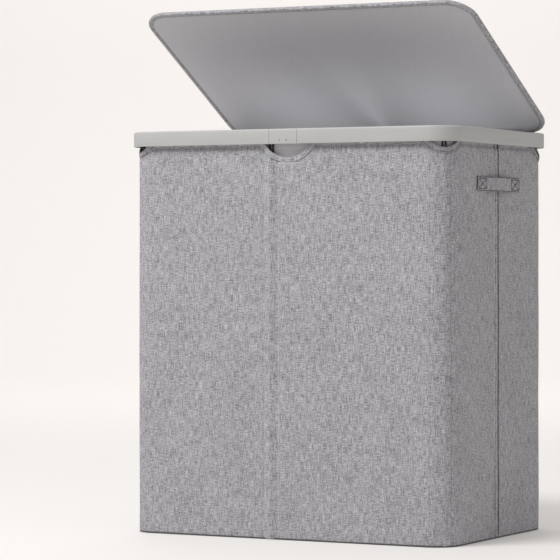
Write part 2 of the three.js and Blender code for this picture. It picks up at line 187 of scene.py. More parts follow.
# ---- materials -----------------------------------------------------------------------------------
class Shader:
    """Short ways to add and join nodes in one material."""

    def __init__(self, name):
        self.material = bpy.data.materials.new(name)
        self.material.use_nodes = True
        self.tree = self.material.node_tree
        self.surface = self.tree.nodes["Principled BSDF"]

    def set(self, **values):
        for name, value in values.items():
            self.surface.inputs[name.replace("_", " ")].default_value = value

    def node(self, kind, **settings):
        node = self.tree.nodes.new(kind)
        for name, value in settings.items():
            setattr(node, name, value)
        return node

    def feed(self, socket, value):
        if isinstance(value, bpy.types.NodeSocket):
            self.tree.links.new(value, socket)
        else:
            socket.default_value = value

    def math(self, operation, *values):
        node = self.node("ShaderNodeMath", operation=operation)
        for socket, value in zip(node.inputs, values):
            self.feed(socket, value)
        return node.outputs[0]

    def plus(self, a, b):
        return self.math("ADD", a, b)

    def minus(self, a, b):
        return self.math("SUBTRACT", a, b)

    def times(self, a, b):
        return self.math("MULTIPLY", a, b)

    def wave(self, value, length):
        """Sine with one full turn in each length."""
        return self.math("SINE", self.times(value, 2 * math.pi / length))

    def cloth(self):
        """Flat place on the cloth, in millimetres."""
        return self.scaled(self.node("ShaderNodeUVMap", uv_map="cloth").outputs["UV"], 1000, 1000)

    def place(self):
        """Place in the row frame, in millimetres."""
        return self.scaled(self.node("ShaderNodeTexCoord").outputs["Object"], 1000, 1000, 1000)

    def scaled(self, vector, x, y, z=1.0, shift=(0, 0, 0)):
        node = self.node("ShaderNodeMapping")
        self.feed(node.inputs["Vector"], vector)
        node.inputs["Scale"].default_value = (x, y, z)
        node.inputs["Location"].default_value = shift
        return node.outputs["Vector"]

    def noise(self, vector, scale=1.0, detail=2.0, roughness=0.5, shift=(0, 0, 0)):
        """Noise from 0 to 1. scale is one number, or one for each direction."""
        if isinstance(scale, tuple):
            vector, scale = self.scaled(vector, *scale, shift=shift), 1.0
        node = self.node("ShaderNodeTexNoise")
        self.feed(node.inputs["Vector"], vector)
        node.inputs["Scale"].default_value = scale
        node.inputs["Detail"].default_value = detail
        node.inputs["Roughness"].default_value = roughness
        return node.outputs["Fac"]

    def ramp(self, value, stops):
        node = self.node("ShaderNodeValToRGB")
        self.feed(node.inputs["Fac"], value)
        elements = node.color_ramp.elements
        while len(elements) < len(stops):
            elements.new(0.5)
        for element, (position, colour) in zip(elements, stops):
            element.position = position
            element.color = (*colour, 1)
        return node.outputs["Color"]

    def stretch(self, value, low_in, high_in, low_out, high_out):
        node = self.node("ShaderNodeMapRange")
        self.feed(node.inputs["Value"], value)
        ends = (low_in, high_in, low_out, high_out)
        for name, end in zip(("From Min", "From Max", "To Min", "To Max"), ends):
            node.inputs[name].default_value = end
        return node.outputs["Result"]

    def parts(self, vector):
        node = self.node("ShaderNodeSeparateXYZ")
        self.feed(node.inputs[0], vector)
        return node.outputs[0], node.outputs[1], node.outputs[2]

    def bump(self, height, distance, strength=1.0):
        node = self.node("ShaderNodeBump")
        node.inputs["Strength"].default_value = strength
        node.inputs["Distance"].default_value = distance
        self.feed(node.inputs["Height"], height)
        self.feed(self.surface.inputs["Normal"], node.outputs["Normal"])

    def colour(self, value, stops):
        self.feed(self.surface.inputs["Base Color"], self.ramp(value, stops))

    def roughness(self, value, *ends):
        self.feed(self.surface.inputs["Roughness"], self.stretch(value, *ends))


def grey(level, warm=0.0):
    """Near-neutral colour from a linear level; warm above 0 leans to yellow, below 0 to violet."""
    return (level * (1 + 0.02 * warm), level, level * (1 - 0.03 * warm))


def violet(level):
    """Grey with the faint violet cast of the cloths."""
    return (level * 1.012, level, level * 1.058)


def heather():
    """Linen-look plain weave: light and dark slubbed yarns that pass over and under each other."""
    s = Shader("heather_linen")
    cloth = s.cloth()
    drift = s.times(s.minus(s.noise(cloth, 0.035, 2.0), 0.5), 5.0)
    x, y, _ = s.parts(cloth)
    x, y = s.plus(x, drift), s.plus(y, drift)
    yarn = 1.7
    warp = s.noise(cloth, (1.1, 0.065), 3.0, 0.62)
    weft = s.noise(cloth, (0.11, 0.85), 3.0, 0.62, shift=(40, 7, 0))
    speck = s.noise(cloth, (1.2, 0.42), 2.0, 0.7, shift=(11, 90, 0))
    cloud = s.noise(cloth, (0.018, 0.011), 2.0, 0.5, shift=(3, 5, 0))
    across = s.wave(x, 2 * yarn)
    along = s.wave(y, 2 * yarn)
    weave = s.times(across, along)
    on_top = s.stretch(weave, -0.3, 0.3, 0.18, 0.90)
    tone = s.plus(weft, s.times(on_top, s.minus(warp, weft)))
    tone = s.plus(tone, s.times(s.minus(speck, 0.5), 0.48))
    tone = s.plus(tone, s.times(s.minus(cloud, 0.5), 0.05))
    for wave, share, size in ((across, 0.16, (0.22, 0.045)), (along, 0.08, (0.045, 0.22))):
        edge = s.math("POWER", s.minus(1.0, s.math("ABSOLUTE", wave)), 2.0)
        open_yarn = s.stretch(s.noise(cloth, size, 2.0, shift=(70, 31, 0)), 0.48, 0.62, 0.0, 1.0)
        tone = s.minus(tone, s.times(s.times(edge, open_yarn), share))
    levels = ((0.30, 0.105), (0.40, 0.212), (0.48, 0.356), (0.57, 0.51), (0.70, 0.70))
    s.colour(tone, [(at, violet(level)) for at, level in levels])
    thick = s.plus(s.math("ABSOLUTE", weave), s.times(speck, 0.8))
    s.bump(thick, 0.30 * MM, 0.7)
    s.roughness(speck, 0.2, 0.8, 0.84, 0.97)
    s.set(Sheen_Weight=0.10, Sheen_Roughness=0.6, Specular_IOR_Level=0.2)
    return s.material


def smooth_lining(name, level, fine=1.0):
    """Close-woven lining with faint lengthwise streaks."""
    s = Shader(name)
    cloth = s.cloth()
    streak = s.noise(cloth, (0.55 * fine, 0.022 * fine), 3.0, 0.6)
    cross = s.noise(cloth, (0.02 * fine, 0.7 * fine), 2.0, 0.5, shift=(9, 2, 0))
    both = s.plus(s.times(streak, 0.75), s.times(cross, 0.25))
    s.colour(both, [(0.3, violet(level * 0.93)), (0.5, violet(level)), (0.7, violet(level * 1.07))])
    x, y, _ = s.parts(cloth)
    pick = 0.45
    twill = s.wave(s.plus(x, y), pick)
    s.bump(s.plus(both, s.times(twill, 0.12)), 0.12 * MM, 0.5)
    s.roughness(both, 0.3, 0.7, 0.62, 0.74)
    s.set(Sheen_Weight=0.08, Sheen_Roughness=0.45, Specular_IOR_Level=0.18)
    return s.material


def bag_cloth():
    """Thin coated polyester with a satin face and a fine square weave."""
    s = Shader("bag_polyester")
    cloth = s.cloth()
    x, y, _ = s.parts(cloth)
    thread_pair = 0.7
    weave = s.times(s.wave(x, thread_pair), s.wave(y, thread_pair))
    shade = s.noise(cloth, (0.03, 0.012), 3.0, 0.5)
    stops = [(0.3, (0.235, 0.222, 0.242)), (0.7, (0.285, 0.270, 0.292))]
    s.colour(shade, stops)
    s.bump(weave, 0.05 * MM, 0.4)
    s.roughness(shade, 0.3, 0.7, 0.42, 0.55)
    s.set(Sheen_Weight=0.25, Sheen_Roughness=0.35, Specular_IOR_Level=0.4)
    return s.material


def ribbed_webbing():
    """Narrow dark tape with ribs across it."""
    s = Shader("ribbed_webbing")
    cloth = s.cloth()
    x, y, _ = s.parts(cloth)
    rib = s.wave(x, 1.3)
    cross = s.wave(y, 1.6)
    fleck = s.noise(cloth, 1.2, 2.0, 0.6)
    height = s.plus(rib, s.times(cross, 0.5))
    s.colour(s.plus(fleck, s.times(rib, 0.08)), [(0.35, grey(0.055, -1)), (0.65, grey(0.115, -1))])
    s.bump(height, 0.18 * MM, 0.6)
    s.roughness(fleck, 0.3, 0.7, 0.6, 0.8)
    s.set(Sheen_Weight=0.2, Specular_IOR_Level=0.3)
    return s.material


def rim_plastic():
    """Satin moulded plastic with a fine spark-eroded grain and faint flow marks."""
    s = Shader("rim_plastic")
    place = s.place()
    grain = s.noise(place, 1.6, 2.0, 0.6)
    flow = s.noise(place, (0.012, 0.012, 0.09), 2.0, 0.5)
    stops = [(0.3, (0.448, 0.449, 0.442)), (0.7, (0.479, 0.480, 0.473))]
    s.colour(flow, stops)
    s.bump(grain, 0.06 * MM, 0.25)
    s.roughness(grain, 0.3, 0.7, 0.40, 0.52)
    s.set(Specular_IOR_Level=0.35)
    return s.material


def dark_wire():
    """Lacquered steel wire with a few rubbed spots."""
    s = Shader("dark_wire")
    place = s.place()
    spots = s.noise(place, (0.5, 0.5, 0.05), 3.0, 0.6)
    s.colour(spots, [(0.35, grey(0.022)), (0.62, grey(0.04)), (0.75, grey(0.12))])
    s.roughness(spots, 0.3, 0.75, 0.45, 0.28)
    s.bump(s.noise(place, 2.5, 2.0), 0.04 * MM, 0.3)
    s.set(Metallic=0.6)
    return s.material


def fluted_board():
    """Off-white fluted sheet: long ribs under a smooth skin."""
    s = Shader("fluted_board")
    x, y, _ = s.parts(s.place())
    flute = 4.0
    ribs = s.wave(s.plus(x, y), flute)
    haze = s.noise(s.place(), (0.02, 0.02, 0.02), 3.0)
    s.colour(haze, [(0.3, grey(0.60, 1)), (0.7, grey(0.70, 1))])
    s.bump(ribs, 0.2 * MM, 0.5)
    s.roughness(haze, 0.3, 0.7, 0.5, 0.65)
    return s.material


def thread(name, level):
    """Twisted sewing thread."""
    s = Shader(name)
    twist = s.noise(s.place(), (2.5, 2.5, 2.5), 2.0)
    s.colour(twist, [(0.3, grey(level * 0.85)), (0.7, grey(level * 1.15))])
    s.roughness(twist, 0.3, 0.7, 0.6, 0.8)
    s.set(Sheen_Weight=0.2)
    return s.material


def rivet_plastic():
    s = Shader("rivet_plastic")
    grain = s.noise(s.place(), 2.0, 2.0, 0.6)
    s.colour(grain, [(0.3, grey(0.24)), (0.7, grey(0.29))])
    s.bump(grain, 0.05 * MM, 0.3)
    s.roughness(grain, 0.3, 0.7, 0.38, 0.5)
    return s.material


def plain_floor():
    s = Shader("studio_white")
    s.set(Base_Color=(0.745, 0.720, 0.702, 1), Roughness=0.75, Specular_IOR_Level=0.2)
    s.set(Emission_Color=(1.0, 0.965, 0.94, 1), Emission_Strength=0.14)
    return s.material


LOOKS = {}


def look(name, maker, *arguments):
    if name not in LOOKS:
        LOOKS[name] = maker(*arguments)
    return LOOKS[name]


def heather_cloth():
    return look("heather", heather)


def cord_cloth():
    return look("cord", dark_cord_and_fold_shade)


def light_thread():
    return look("light_thread", thread, "light_thread", 0.55)


# Dark grey thread: real stitching on the bag hems, and partly painted shade in the lid binding's stitches.
def grey_thread():
    return look("grey_thread", thread, "grey_thread", 0.16)


# ---- mesh helpers --------------------------------------------------------------------------------
def settle(piece, slot, *nodes, body=BODY):
    """Says which body a piece rides on, and any CAD nodes that it stands for. The slot argument is not used.
    """
    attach(piece, body)
    if nodes:
        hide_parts(*nodes)
    return piece


def new_object(name, mesh, material, crease_angle=None):
    for polygon in mesh.polygons:
        polygon.use_smooth = True
    if crease_angle is not None:
        mesh.set_sharp_from_angle(angle=math.radians(crease_angle))
    mesh.materials.append(material)
    return add_object(name, mesh)


def add_cloth_map(mesh, corners):
    """UV map with the flat place of each face's corners."""
    values = [number for face in corners for corner in face for number in corner[:2]]
    mesh.uv_layers.new(name="cloth").data.foreach_set("uv", values)


def grid_mesh(name, places, flat, wrap_u=False, wrap_v=False, caps=False):
    """Mesh over places[u][v]. flat[u][v] is the place on the cloth, with one more row where it wraps."""
    places = np.asarray(places, float)
    flat = np.asarray(flat, float)
    nu, nv = places.shape[:2]
    faces, corners = [], []
    for i in range(nu if wrap_u else nu - 1):
        for j in range(nv if wrap_v else nv - 1):
            a, b = (i + 1) % nu, (j + 1) % nv
            faces.append((i * nv + j, a * nv + j, a * nv + b, i * nv + b))
            corners.append((flat[i][j], flat[i + 1][j], flat[i + 1][j + 1], flat[i][j + 1]))
    if caps:
        faces.append(tuple(range(nv)))
        corners.append([flat[0][j] for j in range(nv)])
        faces.append(tuple((nu - 1) * nv + j for j in reversed(range(nv))))
        corners.append([flat[nu - 1][j] for j in reversed(range(nv))])
    mesh = mesh_of(name, places.reshape(-1, 3).tolist(), faces)
    add_cloth_map(mesh, corners)
    return mesh


def solidify(obj, thickness, even=True):
    modifier = obj.modifiers.new("thickness", "SOLIDIFY")
    modifier.thickness = thickness
    modifier.offset = -1
    modifier.use_even_offset = even
    return obj


def spread(start, end, step):
    """Evenly spaced values from start to end, about step apart, without the last."""
    count = max(1, round(abs(end - start) / step))
    return [start + (end - start) * i / count for i in range(count)]


class Outline:
    """Rounded rectangle in plan. s runs along it from the middle of the front, anticlockwise from above."""

    def __init__(self, half_x, half_y, radius, centre_x=0.0):
        self.flat_x, self.flat_y, self.radius = half_x - radius, half_y - radius, radius
        self.centre_x = centre_x
        self.arc = math.pi / 2 * radius
        quarter = math.pi / 2
        fx, fy = self.flat_x, self.flat_y
        self.parts = [
            ("line", fx, (0, -half_y), -quarter), ("arc", self.arc, (fx, -fy), -quarter),
            ("line", 2 * fy, (half_x, -fy), 0), ("arc", self.arc, (fx, fy), 0),
            ("line", 2 * fx, (fx, half_y), quarter), ("arc", self.arc, (-fx, fy), quarter),
            ("line", 2 * fy, (-half_x, fy), 2 * quarter), ("arc", self.arc, (-fx, -fy), 2 * quarter),
            ("line", fx, (-fx, -half_y), 3 * quarter),
        ]
        self.length = sum(part[1] for part in self.parts)

    def locate(self, s):
        """Which stretch s lies on, and how far along it from 0 to 1."""
        s %= self.length
        for index, (_, length, _, _) in enumerate(self.parts):
            if s <= length:
                break
            s -= length
        return index, s / length

    def at(self, s):
        """Place and outward normal at s."""
        return self.along(*self.locate(s))

    def along(self, index, share):
        kind, length, (x, y), angle = self.parts[index]
        s = share * length
        if kind == "arc":
            turned = angle + s / self.radius
            normal = Vector((math.cos(turned), math.sin(turned), 0))
            place = Vector((x, y, 0)) + normal * self.radius
        else:
            normal = Vector((math.cos(angle), math.sin(angle), 0))
            place = Vector((x, y, 0)) + Vector((-normal.y, normal.x, 0)) * s
        return place + Vector((self.centre_x, 0, 0)), normal

    def side(self, y, sx):
        """s of a place on the right (sx 1) or left side."""
        return sx * (self.flat_x + self.arc + self.flat_y + y)

    def corners(self):
        """s of the middle of each corner: front right, rear right, front left, rear left."""
        near = self.flat_x + self.arc / 2
        far = near + self.arc + 2 * self.flat_y
        return near, far, -near, -far


def wrapped(s, centre, length):
    """Distance from centre to s, the short way round."""
    return (s - centre + length / 2) % length - length / 2


def groove(distance, width, depth):
    return -depth * math.exp(-(distance / width) ** 2)


def waves(place, wavelength, height, seed=0.0):
    return height * noise.noise(Vector(place) / wavelength + Vector((seed, 0.37 * seed, 1.7 * seed)))


def stitches(name, line, normals, material, body, pitch=STITCH, share=0.68, radius=THREAD):
    """One thread stitch after another along a line of close places, each bulging out of the cloth."""
    line = np.asarray(line, float)
    normals = np.asarray(normals, float)
    steps = np.linalg.norm(np.diff(line, axis=0), axis=1)
    along = np.concatenate([[0], np.cumsum(steps)])
    count = int(along[-1] // pitch)
    # each ring of a stitch: place along it, width, and lift out of the cloth
    rings = ((-1.0, 0.25, -0.6), (-0.6, 0.85, 0.25), (0.0, 1.0, 0.55), (0.6, 0.85, 0.25), (1.0, 0.25, -0.6))
    sides = 6
    verts, faces = [], []

    def sample(at, values):
        return np.array([np.interp(at, along, values[:, k]) for k in range(3)])

    for i in range(count):
        middle = (i + 0.5) * along[-1] / count
        half = pitch * share / 2
        centre, up = sample(middle, line), sample(middle, normals)
        run = sample(min(middle + half, along[-1]), line) - sample(max(middle - half, 0), line)
        run /= max(np.linalg.norm(run), 1e-9)
        up -= run * (up @ run)
        up /= max(np.linalg.norm(up), 1e-9)
        side = np.cross(run, up)
        base = len(verts)
        for t, wide, lift in rings:
            spine = centre + run * t * half + up * radius * lift
            for k in range(sides):
                a = 2 * math.pi * k / sides
                verts.append(spine + radius * wide * (math.cos(a) * side + math.sin(a) * up))
        for r in range(len(rings) - 1):
            for k in range(sides):
                a, b = base + r * sides + k, base + r * sides + (k + 1) % sides
                faces.append((a, a + sides, b + sides, b))
        faces.append(tuple(base + k for k in range(sides)))
        last = base + (len(rings) - 1) * sides
        faces.append(tuple(last + k for k in reversed(range(sides))))
    mesh = mesh_of(name, [tuple(v) for v in verts], faces)
    settle(new_object(name, mesh, material), "heather_fabric", body=body)


def upright_band(name, outline, columns, rows, relief, material, thickness, closed=True):
    """Cloth that stands along an outline. relief(place, z) is how far it lies outside the outline."""
    places = []
    for s in columns:
        base, normal = outline.at(s)
        places.append([tuple((base + normal * relief(base, z)).xy) + (z,) for z in rows])
    flat = [[(s, z) for z in rows] for s in columns + [outline.length] * closed]
    mesh = grid_mesh(name, places, flat, wrap_u=closed)
    return solidify(new_object(name, mesh, material), thickness)


def stitch_round(name, outline, columns, z, relief, material, facing=1, pitch=STITCH):
    """Stitches at one height along an outline, on its outer side, or its inner side where facing is -1."""
    line, normals = [], []
    for s in columns:
        base, normal = outline.at(s)
        point = base + normal * relief(base, z)
        line.append((point.x, point.y, z))
        normals.append(tuple(normal * facing))
    stitches(name, line, normals, material, BODY, pitch)


# ---- the sewn cover ------------------------------------------------------------------------------
WALL = Outline(WALL_X, WALL_Y, WALL_CORNER)


# Notches as (s of the middle, height of the circle's middle, radius, whether it is on a corner)
FINGER_NOTCHES = [(s, NOTCH_Z, NOTCH_R, False) for s in (NOTCH_X, WALL.length / 2 - NOTCH_X)]
CORNER_CUTS = [(s, height, radius, True) for s, (height, radius) in zip(WALL.corners(), CORNER_NOTCHES)]
NOTCHES = FINGER_NOTCHES + CORNER_CUTS


def across_notch(s, centre, on_corner):
    """Straight distance from the middle of a notch. On a corner it is measured across the corner."""
    d = wrapped(s, centre, WALL.length)
    return WALL_CORNER * math.sin(max(-1.5, min(1.5, d / WALL_CORNER))) if on_corner else d


def notch_distance(s, z):
    """How far a place on the cover is outside the edge of the nearest notch; negative inside it."""
    return min(math.hypot(across_notch(s, centre, on_corner), z - height) - radius
               for centre, height, radius, on_corner in NOTCHES)


def cover_edge(s):
    """Height of the cover's top edge, down in the notches."""
    top = WALL_TOP
    for centre, height, radius, on_corner in NOTCHES:
        across = across_notch(s, centre, on_corner)
        if abs(across) < radius:
            top = min(top, height - math.sqrt(radius ** 2 - across ** 2))
    return top


def pocket_seams():
    """s of the seams that hold the four corner pockets: one near the front or rear, one round on the side."""
    near = WALL.flat_x + 0.14 * WALL.arc
    round_ = WALL.flat_x + 0.68 * WALL.arc
    total = 2 * (WALL.flat_x + WALL.arc + WALL.flat_y)
    return [sign * s for s in (near, round_, total - near, total - round_) for sign in (1, -1)]


POCKET_SEAMS = pocket_seams()


ROD_RIDGE, RIDGE_WIDTHS = 3.4 * MM, (7.5 * MM, 5.0 * MM)
MOST_RELIEF = 4.4 * MM
CLEAR_SEAMS = (2, 3, 4, 5)


def cover_relief(s, z):
    """How far the cover stands out from its plain outline: seams, pockets over the rods, hems, slack."""
    place, _ = WALL.at(s)
    out = waves((place.x, place.y, z), 0.13, 0.45 * MM) + waves((place.x, place.y, z), 0.045, 0.16 * MM, 3.1)
    for sign, middle in ((1, 0.0), (-1, WALL.length / 2)):
        d = sign * wrapped(s, middle, WALL.length)
        across = d - ROD_X
        out -= groove(across, RIDGE_WIDTHS[0 if across < 0 else 1], ROD_RIDGE)
        for seam, wide, depth in zip(ROD_POCKET, (1.4 * MM, 3.0 * MM), (0.7 * MM, 1.2 * MM)):
            out += groove(d - seam, wide, depth)
    for sx in (-1, 1):
        for seam, depth, wide in zip(SIDE_SEAMS, (3.6 * MM, 1.6 * MM), (1.9 * MM, 1.6 * MM)):
            out += groove(wrapped(s, WALL.side(seam, sx), WALL.length), wide, depth)
        fold = wrapped(s, WALL.side(sum(SIDE_SEAMS) / 2, sx), WALL.length)
        out += groove(fold, 7 * MM, 0.6 * MM)
    for i, seam in enumerate(POCKET_SEAMS):
        depth = 1.3 * MM if i in CLEAR_SEAMS else 0.5 * MM
        out += groove(wrapped(s, seam, WALL.length), 1.5 * MM, depth)
    for corner in WALL.corners():
        d = wrapped(s, corner, WALL.length)
        out -= groove(d, 5 * MM, 0.8 * MM)
    edge = notch_distance(s, z)
    if edge < 2 * NOTCH_HEM:
        out += 0.6 * MM / (1 + math.exp((edge - NOTCH_HEM) / (0.6 * MM)))
        out += groove(edge - NOTCH_HEM - 1.2 * MM, 1.6 * MM, 2.5 * MM)
    foot = 5 * MM
    if z < foot:
        out -= 2.2 * MM * (1 - z / foot) ** 2
    return min(out, MOST_RELIEF)


def cover_columns():
    """Places along the outline, close together at notches, corners and seams."""
    start = WALL.corners()[3] - WALL.arc / 2
    fine = []
    for centre in (NOTCH_X, WALL.length / 2 - NOTCH_X):
        fine.append((centre, 66 * MM, 2 * MM))
    for centre in WALL.corners():
        fine.append((centre, 40 * MM, 1.7 * MM))
    for sx in (-1, 1):
        fine.append((WALL.side(sum(SIDE_SEAMS) / 2, sx), 12 * MM, 1.2 * MM))
        fine += [(WALL.side(seam, sx), 4.4 * MM, 0.6 * MM) for seam in SIDE_SEAMS]
    fine += [(seam, 4 * MM, 0.6 * MM) for seam in POCKET_SEAMS]
    columns, s = [], start
    while s < start + WALL.length - 1e-6:
        columns.append(s)
        step = 14 * MM
        for centre, reach, small in fine:
            gap = abs(wrapped(s, centre, WALL.length)) - reach
            if gap < 0:
                step = min(step, small)
            else:
                step = min(step, max(small, gap * 0.6))
        s += step
    return columns, start


def cover_rows(edge):
    """Heights from the floor to the edge: close at the foot and over the top stretch."""
    high_start = 572 * MM
    rows = [0.3 * MM, 1.2 * MM, 2.4 * MM, 4 * MM, 7 * MM]
    rows += spread(12 * MM, high_start, 13 * MM)
    steps = 26
    rows += [high_start + (edge - high_start) * i / steps for i in range(steps + 1)]
    return rows


def make_cover():
    columns, start = cover_columns()
    places, flat = [], []
    for s in columns:
        track = [(s, z) for z in cover_rows(cover_edge(s))]
        places.append(on_cover(track)[0])
        flat.append(track)
    flat.append([(start + WALL.length, z) for _, z in flat[0]])
    mesh = grid_mesh("fabric_cover", places, flat, wrap_u=True)
    cover = solidify(new_object("fabric_cover", mesh, heather_cloth()), CLOTH)
    pockets = [f"corner_pocket_{end}_{side}" for end, _ in ENDS for side, _ in SIDES]
    settle(cover, "heather_fabric", "front_panel", "rear_panel", "left_panel", "right_panel", *pockets)
    sew_cover()


def on_cover(track, above=0.0):
    """Places and outward normals for a track of (s, z) places on the cover."""
    places, normals = [], []
    for s, z in track:
        base, normal = WALL.at(s)
        point = base + normal * (cover_relief(s, z) + above)
        places.append((point.x, point.y, z))
        normals.append(tuple(normal))
    return places, normals


def sew_line(name, track, material, radius=THREAD):
    """Stitches over a track of (s, z) places on the cover."""
    stitches(name, *on_cover(track), material, BODY, share=0.8, radius=radius)


def sew_cord(name, path, across, radius):
    """Dark cord sewn along an edge, or laid along a side fold as painted shade in the fold's gap."""
    settle(tube(name, path, across, radius, cord_cloth(), sides=8), "webbing")


def sew_cover():
    """Thread along the notch hems and rod pockets, and dark cords down the side folds as painted shade in the
    fold gaps.
    """
    hem = NOTCH_HEM - 0.6 * MM
    for (end, _), notch, sign in zip(ENDS, FINGER_NOTCHES, (1, -1)):
        sew_line(f"notch_stitching_{end}", notch_track(notch, hem, 1 * MM, 60), light_thread(), 0.85 * MM)
        for k, seam in enumerate(ROD_POCKET):
            s = sign * (seam - (2.2 * MM if k == 0 else -2.2 * MM)) + (0 if sign > 0 else WALL.length / 2)
            top = cover_edge(s) - hem - 2 * MM if k else min(RIM_BOTTOM, cover_edge(s) - 2 * MM)
            track = [(s, z) for z in np.linspace(6 * MM, top, 90)]
            sew_line(f"rod_pocket_stitching_{end}_{k + 1}", track, light_thread())
    for i, notch in enumerate(CORNER_CUTS):
        track = notch_track(notch, hem, 1 * MM, 40)
        sew_line(f"corner_notch_stitching_{i + 1}", track, cord_cloth(), 0.6 * MM)
    for side, sx in SIDES:
        for k, (seam, radius) in enumerate(zip(SIDE_SEAMS, (1.6 * MM, 1.1 * MM))):
            s = WALL.side(seam, sx)
            track = [(s, z) for z in np.linspace(6 * MM, WALL_TOP - 4 * MM, 60)]
            # Each dark fold cord is painted shade: it stands in for the shadow in the gap of a side fold.
            sew_cord(f"fold_shadow_cord_{side}_{k + 1}", on_cover(track, 0.8 * MM)[0], (0, 1, 0), radius)


def notch_track(notch, away, below, steps):
    """Places (s, z) on an arc away from the edge of a notch. Its ends are below the foot of the rim."""
    centre, height, radius, on_corner = notch
    radius += away
    reach = math.acos((height - RIM_BOTTOM - below) / radius)
    track = []
    for i in range(steps + 1):
        a = reach * (2 * i / steps - 1)
        across = radius * math.sin(a)
        s = centre + (WALL_CORNER * math.asin(max(-1, min(1, across / WALL_CORNER))) if on_corner else across)
        track.append((s, height - radius * math.cos(a)))
    return track


def edge_notches():
    """Two dark cords round each rear corner notch: on its edge, and a little outside it."""
    for i in (1, 3):
        for row, away in enumerate((0.0, 3.2 * MM)):
            track = notch_track(CORNER_CUTS[i], away, 3 * MM, 48)
            sew_cord(f"notch_cord_{i}_{row + 1}", *on_cover(track, 0.2 * MM), 1.0 * MM)


def back_corner_pockets():
    """Pale inner ply of each corner pocket, behind the rods. Its colour, paler than the lining, is painted
    light that lifts the shade in the corner notches.
    """
    outline = Outline(LINING_X, LINING_Y, LINING_CORNER)
    for i, corner in enumerate(outline.corners()):
        reach = outline.arc / 2 + 4 * MM
        columns = list(np.linspace(corner - reach, corner + reach, 33))
        rows = list(np.linspace(570 * MM, LINING_TOP, 9))
        # Level 0.78, well above the lining's 0.54, is painted light for the shaded corner notches.
        cloth = look("ply", smooth_lining, "pocket_ply_cloth", 0.78)
        ply = upright_band(f"pocket_ply_{i + 1}", outline, columns, rows, lambda place, z: 0.35 * MM, cloth,
                           0.3 * MM, closed=False)
        settle(ply, "lining_fabric")


def make_base():
    """Base cloth under the base boards, and the dark piping where it meets the walls."""
    inset = high("right_panel").x - high("base_cover").x
    base = rounded_sheet("base_cloth", WALL_X - inset, WALL_Y - inset, WALL_CORNER - inset,
                         lambda x, y: waves((x, y, 0), 0.08, 0.15 * MM) + 0.4 * MM, heather_cloth(), up=False)
    settle(solidify(base, 0.7 * MM), "heather_fabric", "base_cover")
    radius = 1.5 * MM
    places, flat = [], []
    outline = Outline(WALL_X - 1.4 * MM, WALL_Y - 1.4 * MM, WALL_CORNER - 1.4 * MM)
    for s in spread(0, outline.length, 6 * MM):
        centre, normal = outline.at(s)
        ring = []
        for k in range(8):
            a = 2 * math.pi * k / 8
            point = centre + normal * radius * math.cos(a)
            ring.append((point.x, point.y, radius + 0.1 * MM + radius * math.sin(a)))
        places.append(ring)
        flat.append([(s, radius * k) for k in range(9)])
    flat.append([(outline.length, radius * k) for k in range(9)])
    mesh = grid_mesh("base_piping", places, flat, wrap_u=True, wrap_v=True)
    settle(new_object("base_piping", mesh, look("piping", ribbed_webbing)), "webbing")


def dark_cord_and_fold_shade():
    """Dark heather cord for the edges of notches and straps, also laid down the side folds as painted shade.
    """
    s = Shader("dark_cord_and_fold_shade")
    fleck = s.noise(s.place(), (0.8, 0.8, 0.8), 2.0, 0.6)
    s.colour(fleck, [(0.35, violet(0.05)), (0.65, violet(0.13))])
    s.roughness(fleck, 0.3, 0.7, 0.8, 0.95)
    return s.material


def rounded_sheet(name, half_x, half_y, radius, height, material, place=None, up=True,
                  x_step=16 * MM, rows=26, dense_x=()):
    """Sheet over a rounded rectangle. height(x, y) shapes it, and place turns it into the row frame."""
    flat_x = half_x - radius
    corner = [flat_x + radius * math.sin(math.pi / 2 * i / 12) for i in range(1, 13)]
    middle = spread(-flat_x, flat_x, x_step) + [flat_x]
    xs = sorted(set(round(x, 7) for x in [-c for c in corner] + middle + corner + list(dense_x)))
    even = [2 * j / rows - 1 for j in range(rows + 1)]
    vs = [math.sin(math.pi / 2 * v) * 0.35 + v * 0.65 for v in even]
    places, flat = [], []
    for x in xs:
        beyond = max(0.0, abs(x) - flat_x)
        reach = half_y - radius + math.sqrt(max(0.0, radius ** 2 - beyond ** 2))
        column, cloth = [], []
        for v in vs:
            y = v * reach
            point = Vector((x, y, height(x, y)))
            column.append(tuple(place @ point if place else point))
            cloth.append((x, y))
        places.append(column)
        flat.append(cloth)
    if not up:
        places, flat = places[::-1], flat[::-1]
    return new_object(name, grid_mesh(name, places, flat), material)


# ---- wall lining ---------------------------------------------------------------------------------
def make_lining():
    outline = Outline(LINING_X, LINING_Y, LINING_CORNER)
    hem_at = 607 * MM
    columns = spread(0, outline.length, 9 * MM)
    rows = spread(LINING_LOW, 560 * MM, 25 * MM) + list(np.linspace(560 * MM, LINING_TOP, 31))

    def relief(place, z):
        out = waves((place.x, place.y, z), 0.06, 0.5 * MM, 5.0) - 0.4 * MM
        out += groove(z - hem_at, 1.3 * MM, 0.5 * MM)
        return min(out + (0.25 * MM if z > hem_at else 0.0), 0.0)

    cloth = look("lining", smooth_lining, "wall_lining_cloth", 0.54)
    lining = upright_band("inner_lining", outline, columns, rows, relief, cloth, 0.6 * MM)
    settle(lining, "lining_fabric", "wall_lining")
    seam = spread(0, outline.length, 4 * MM) + [outline.length - 1e-6]
    dark_thread = look("hem_thread", thread, "hem_thread", 0.24)
    stitch_round("lining_hem_stitching", outline, seam, hem_at, relief, dark_thread)


# ---- plastic rim ---------------------------------------------------------------------------------
RIM = Outline(RIM_X, RIM_Y, RIM_CORNER)
RODS = [(f"{end}_{side}", -sx * sy * math.pi / 4) for end, sy in ENDS for side, sx in SIDES]
RODS += [("front_middle", 0.0), ("rear_middle", 0.0)]
RIM_INSIDE = Outline(RIM_X - RIM_BAND, RIM_Y - RIM_BAND, 32 * MM)


